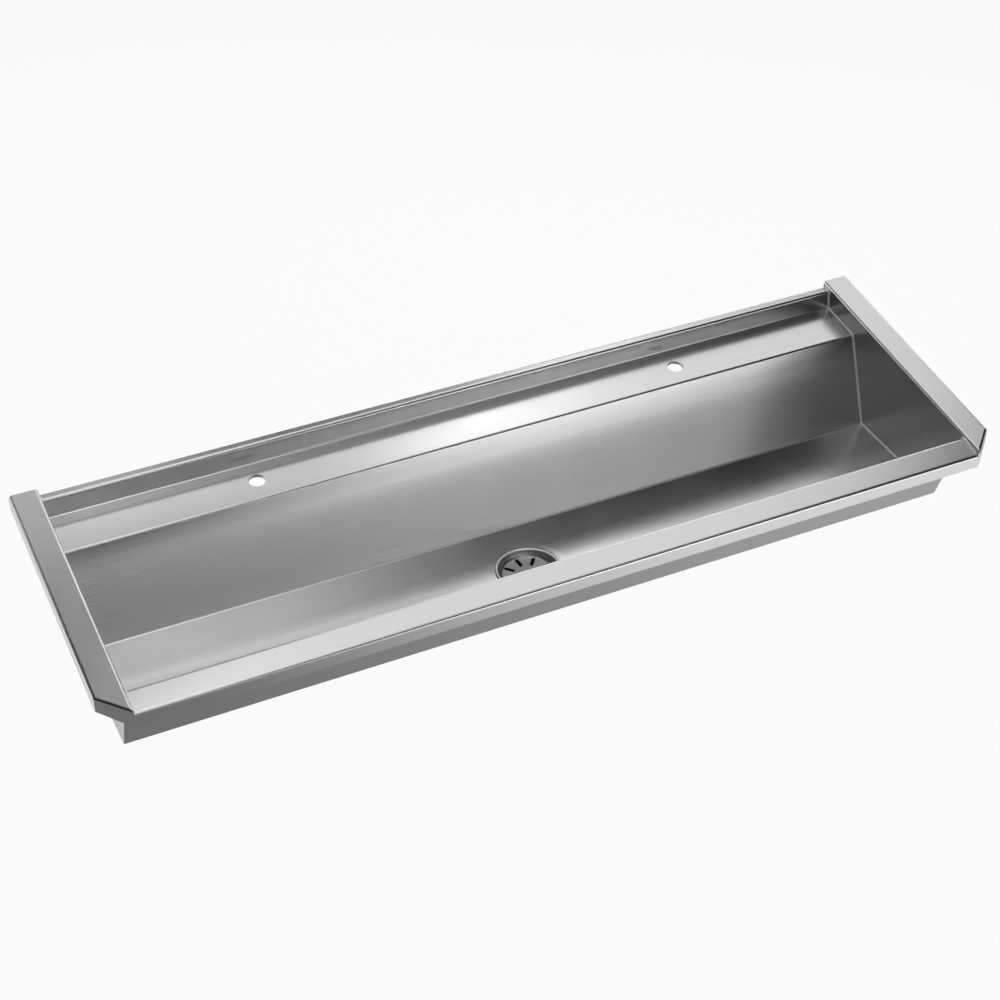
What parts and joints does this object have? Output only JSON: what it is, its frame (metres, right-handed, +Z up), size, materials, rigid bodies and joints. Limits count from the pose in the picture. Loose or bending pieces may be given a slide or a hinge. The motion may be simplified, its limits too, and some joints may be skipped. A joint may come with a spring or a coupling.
{
  "type": "trough sink",
  "caption": "Wall-hung folded stainless wash trough with a tap ledge, wide sloping end flanges, a slotted waste and folded wall brackets.",
  "frame": {"origin": "middle of the four wall fixing holes, on the wall plane, at the middle of the trough's length", "axes": "+X along the trough towards the user's right, +Y into the wall, +Z up; the user stands at -Y"},
  "size_m": [1.2, 0.38, 0.228],
  "materials": {
    "brushed_sheet": "fine brushed along the length",
    "weld": "dressed weld bead",
    "plain_sheet": "mill finish",
    "damping": "matt bitumen sheet",
    "waste_steel": "turned and polished",
    "seal_rubber": "matt",
    "zinc": "bright zinc plate",
    "brass": "as turned"
  },
  "bodies": {
    "root": {"trough_shell": "brushed_sheet", "left_end_panel": "brushed_sheet", "right_end_panel": "brushed_sheet", "left_end_weld": "weld", "right_end_weld": "weld", "left_tap_plate": "plain_sheet", "right_tap_plate": "plain_sheet", "left_sound_pad": "damping", "right_sound_pad": "damping", "waste_body": "waste_steel", "waste_seal": "seal_rubber", "waste_gasket": "seal_rubber", "waste_clamp_washer": "zinc", "waste_backnut": "brass", "left_bracket": "plain_sheet", "right_bracket": "plain_sheet", "left_bracket_strips": "seal_rubber", "right_bracket_strips": "seal_rubber", "left_studs": "plain_sheet", "right_studs": "plain_sheet", "left_washers": "zinc", "right_washers": "zinc", "left_nuts": "zinc", "right_nuts": "zinc"}
  },
  "joints": []
}
